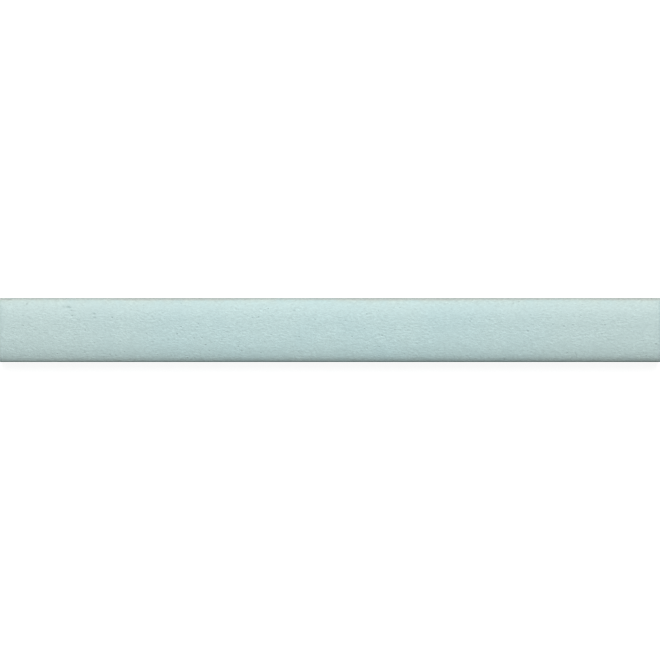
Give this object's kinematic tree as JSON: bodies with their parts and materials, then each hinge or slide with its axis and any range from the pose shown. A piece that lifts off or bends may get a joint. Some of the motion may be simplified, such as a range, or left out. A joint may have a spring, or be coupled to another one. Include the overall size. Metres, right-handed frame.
{
  "type": "pencil liner tile",
  "caption": "Narrow glazed ceramic trim strip with a low arched face, straight sides and a flat back grooved for adhesive.",
  "frame": {"origin": "centre of the back, the flat face that is bedded on the wall; the tile lies on it", "axes": "+X along the length, +Y across the width, +Z out of the arched face"},
  "size_m": [0.1968, 0.019, 0.0127],
  "materials": {
    "aqua_satin_glaze": "satin"
  },
  "bodies": {
    "root": {"pencil_liner_tile": "aqua_satin_glaze"}
  },
  "joints": []
}
